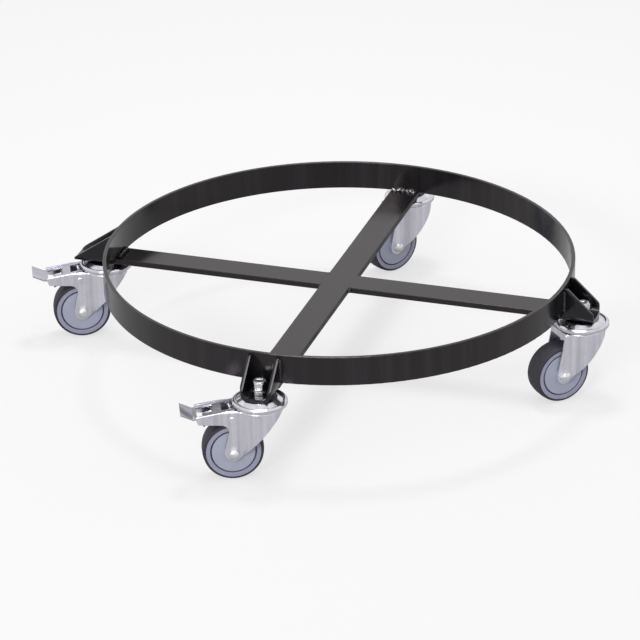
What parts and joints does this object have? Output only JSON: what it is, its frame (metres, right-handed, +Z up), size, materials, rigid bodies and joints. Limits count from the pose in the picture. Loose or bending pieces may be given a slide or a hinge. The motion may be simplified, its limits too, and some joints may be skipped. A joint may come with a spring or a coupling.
{
  "type": "drum trolley",
  "caption": "Low round drum trolley: a flat bar hoop on a flat bar cross, with folded brackets that hold swivel casters, some with a foot brake.",
  "frame": {"origin": "hoop's centre on the top face of the cross bars, where a drum stands", "axes": "+Z up; +X to the right-hand plain caster, -Y to the front braked caster, along the long cross bar"},
  "size_m": [0.8167, 0.7721, 0.162],
  "materials": {
    "hoop_paint": "semi-gloss dark graphite paint",
    "bar_paint": "semi-gloss dark graphite paint",
    "weld_paint": "painted weld beads",
    "bracket_paint": "gloss near-black paint",
    "bolt_zinc": "bright zinc plated",
    "nut_zinc": "bright zinc plated",
    "pin_steel": "plain steel",
    "head_zinc": "bright zinc plated pressing",
    "fork_zinc": "satin zinc plated pressing",
    "pedal_zinc": "satin zinc plated pressing",
    "spring_steel": "spring steel leaf",
    "guard_plastic": "matte blue-grey moulding",
    "rim_plastic": "matte lilac-grey moulding",
    "bearing_plastic": "moulded bush",
    "tread_rubber": "matte dark grey rubber",
    "pad_rubber": "matte black rubber"
  },
  "bodies": {
    "frame": {"ring_band": "hoop_paint", "cross_bar_long": "bar_paint", "cross_bar_left": "bar_paint", "cross_bar_right": "bar_paint", "frame_welds": "weld_paint", "caster_bracket_front": "bracket_paint", "caster_bracket_left": "bracket_paint", "caster_bracket_right": "bracket_paint", "caster_bracket_back": "bracket_paint", "fixing_bolts": "bolt_zinc", "jam_nuts": "bolt_zinc", "fixing_nuts": "nut_zinc", "king_pins": "pin_steel", "swivel_races": "pin_steel", "swivel_head_front": "head_zinc", "swivel_head_left": "head_zinc", "swivel_head_right": "head_zinc", "swivel_head_back": "head_zinc"},
    "caster_front": {"fork_front": "fork_zinc", "axle_bolt_front": "bolt_zinc", "axle_nut_front": "bolt_zinc", "axle_sleeve_front": "pin_steel", "thread_guards_front": "guard_plastic", "brake_pivot_front": "pin_steel"},
    "wheel_front": {"wheel_core_front": "rim_plastic", "tyre_front": "tread_rubber", "hub_bearing_front": "bearing_plastic"},
    "pedal_front": {"brake_pedal_front": "pedal_zinc", "brake_spring_front": "spring_steel", "brake_pad_front": "pad_rubber"},
    "caster_left": {"fork_left": "fork_zinc", "axle_bolt_left": "bolt_zinc", "axle_nut_left": "bolt_zinc", "axle_sleeve_left": "pin_steel", "thread_guards_left": "guard_plastic", "brake_pivot_left": "pin_steel"},
    "wheel_left": {"wheel_core_left": "rim_plastic", "tyre_left": "tread_rubber", "hub_bearing_left": "bearing_plastic"},
    "pedal_left": {"brake_pedal_left": "pedal_zinc", "brake_spring_left": "spring_steel", "brake_pad_left": "pad_rubber"},
    "caster_right": {"fork_right": "fork_zinc", "axle_bolt_right": "bolt_zinc", "axle_nut_right": "bolt_zinc", "axle_sleeve_right": "pin_steel", "thread_guards_right": "guard_plastic"},
    "wheel_right": {"wheel_core_right": "rim_plastic", "tyre_right": "tread_rubber", "hub_bearing_right": "bearing_plastic"},
    "caster_back": {"fork_back": "fork_zinc", "axle_bolt_back": "bolt_zinc", "axle_nut_back": "bolt_zinc", "axle_sleeve_back": "pin_steel", "thread_guards_back": "guard_plastic"},
    "wheel_back": {"wheel_core_back": "rim_plastic", "tyre_back": "tread_rubber", "hub_bearing_back": "bearing_plastic"}
  },
  "joints": [
    {"name": "swivel_front", "type": "hinge", "parent": "frame", "child": "caster_front", "pos_m": [0, -0.34, -0.012], "axis": [0, 0, 1], "continuous": true},
    {"name": "spin_front", "type": "hinge", "parent": "caster_front", "child": "wheel_front", "pos_m": [-0.03309, -0.35418, -0.082], "axis": [0.3939, -0.9191, 0], "continuous": true},
    {"name": "brake_front", "type": "hinge", "parent": "caster_front", "child": "pedal_front", "pos_m": [-0.03401, -0.35458, -0.034], "axis": [0.3939, -0.9191, 0], "range_deg": [0, 18]},
    {"name": "swivel_left", "type": "hinge", "parent": "frame", "child": "caster_left", "pos_m": [-0.34, 0, -0.012], "axis": [0, 0, 1], "continuous": true},
    {"name": "spin_left", "type": "hinge", "parent": "caster_left", "child": "wheel_left", "pos_m": [-0.37284, -0.01476, -0.082], "axis": [0.4099, -0.9121, 0], "continuous": true},
    {"name": "brake_left", "type": "hinge", "parent": "caster_left", "child": "pedal_left", "pos_m": [-0.37375, -0.01517, -0.034], "axis": [0.4099, -0.9121, 0], "range_deg": [0, 18]},
    {"name": "swivel_right", "type": "hinge", "parent": "frame", "child": "caster_right", "pos_m": [0.34, 0, -0.012], "axis": [0, 0, 1], "continuous": true},
    {"name": "spin_right", "type": "hinge", "parent": "caster_right", "child": "wheel_right", "pos_m": [0.31393, -0.02483, -0.082], "axis": [0.6896, -0.7242, 0], "continuous": true},
    {"name": "swivel_back", "type": "hinge", "parent": "frame", "child": "caster_back", "pos_m": [0, 0.34, -0.012], "axis": [0, 0, 1], "continuous": true},
    {"name": "spin_back", "type": "hinge", "parent": "caster_back", "child": "wheel_back", "pos_m": [-0.02136, 0.31102, -0.082], "axis": [0.8049, -0.5934, 0], "continuous": true}
  ]
}
